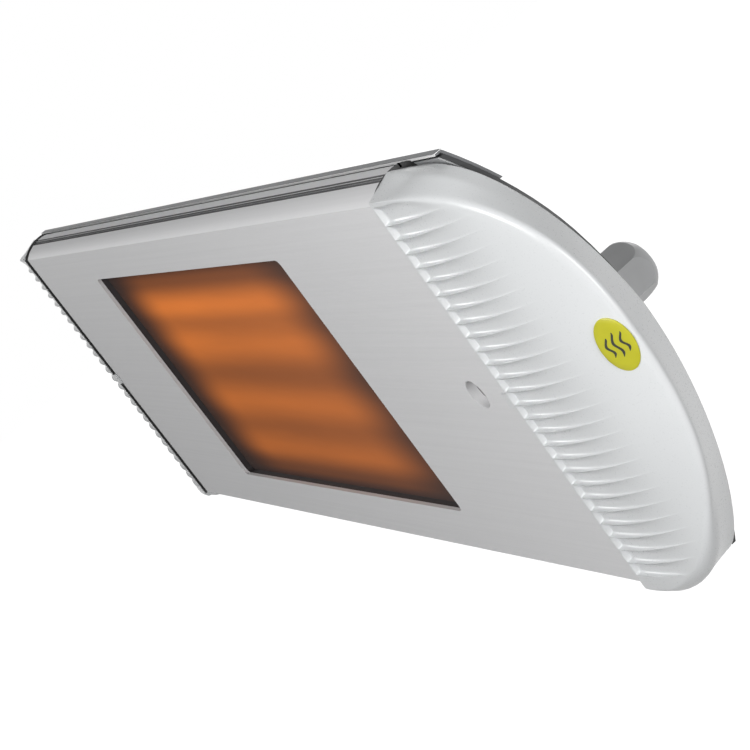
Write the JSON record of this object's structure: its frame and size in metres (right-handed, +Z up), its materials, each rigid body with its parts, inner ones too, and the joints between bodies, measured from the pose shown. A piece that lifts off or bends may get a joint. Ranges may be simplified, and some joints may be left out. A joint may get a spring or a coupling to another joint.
{
  "type": "infrared heater",
  "caption": "Wall-mounted infrared heater: ribbed aluminium front with a glowing glass window, fluted domed end caps, dark curved back shell and a tilting wall bracket.",
  "frame": {"origin": "centre of the wall bracket's back face, at the height of the tilt pivot", "axes": "+X along the heater to the end with the receiver and cable gland, +Y into the wall, +Z up"},
  "size_m": [0.6828, 0.1282, 0.1977],
  "materials": {
    "front_panel": "anodised, finely ribbed",
    "shell_paint": "satin powder coat",
    "bracket_paint": "satin powder coat",
    "cap_plastic": "moulded, pale silver grey",
    "collar_plastic": "black, moulded",
    "badge_print": "yellow-green enamel",
    "zinc_steel": "zinc plated",
    "fastener_steel": "plated",
    "window_glass": "dark tinted ceramic glass",
    "quartz": "clear quartz",
    "filament": "glowing wire",
    "reflector": "bright polished",
    "ceramic": "cream steatite",
    "gasket_rubber": "black silicone",
    "terminal_plastic": "cream moulded",
    "lead_sleeve": "glass-fibre sleeve",
    "receiver_plastic": "dark infrared-clear plastic",
    "board": "circuit board",
    "gland_plastic": "grey nylon",
    "friction_fibre": "pressed fibre"
  },
  "bodies": {
    "bracket": {"wall_bracket": "bracket_paint", "pivot_bolt": "fastener_steel", "pivot_nut": "fastener_steel", "pivot_washers": "fastener_steel", "friction_washers": "friction_fibre"},
    "heater": {"front_panel": "front_panel", "back_shell": "shell_paint", "top_visor": "shell_paint", "rear_saddle": "bracket_paint", "left_end_cap": "cap_plastic", "right_end_cap": "cap_plastic", "left_cap_collar": "collar_plastic", "right_cap_collar": "collar_plastic", "badge": "badge_print", "left_chassis_plate": "zinc_steel", "right_chassis_plate": "zinc_steel", "glass_clips": "zinc_steel", "heat_shield": "zinc_steel", "shield_spacers": "zinc_steel", "cap_screws": "fastener_steel", "glass_clip_screws": "fastener_steel", "shell_screws": "fastener_steel", "visor_screws": "fastener_steel", "saddle_screws": "fastener_steel", "saddle_nuts": "fastener_steel", "terminal_screws": "fastener_steel", "glass_panel": "window_glass", "upper_lamp_tube": "quartz", "lower_lamp_tube": "quartz", "upper_filament": "filament", "lower_filament": "filament", "upper_reflector": "reflector", "lower_reflector": "reflector", "left_reflector_end": "reflector", "right_reflector_end": "reflector", "lamp_bases": "ceramic", "lamp_holders": "ceramic", "glass_gasket": "gasket_rubber", "gland_washer": "gasket_rubber", "gland_seal": "gasket_rubber", "terminal_block": "terminal_plastic", "lamp_leads": "lead_sleeve", "receiver_lens": "receiver_plastic", "receiver_board": "board", "gland_body": "gland_plastic", "gland_dome_nut": "gland_plastic", "gland_lock_nut": "gland_plastic"}
  },
  "joints": [
    {"name": "tilt", "type": "hinge", "parent": "bracket", "child": "heater", "pos_m": [0, -0.055, 0], "axis": [1, 0, 0], "range_deg": [0, 45]}
  ]
}
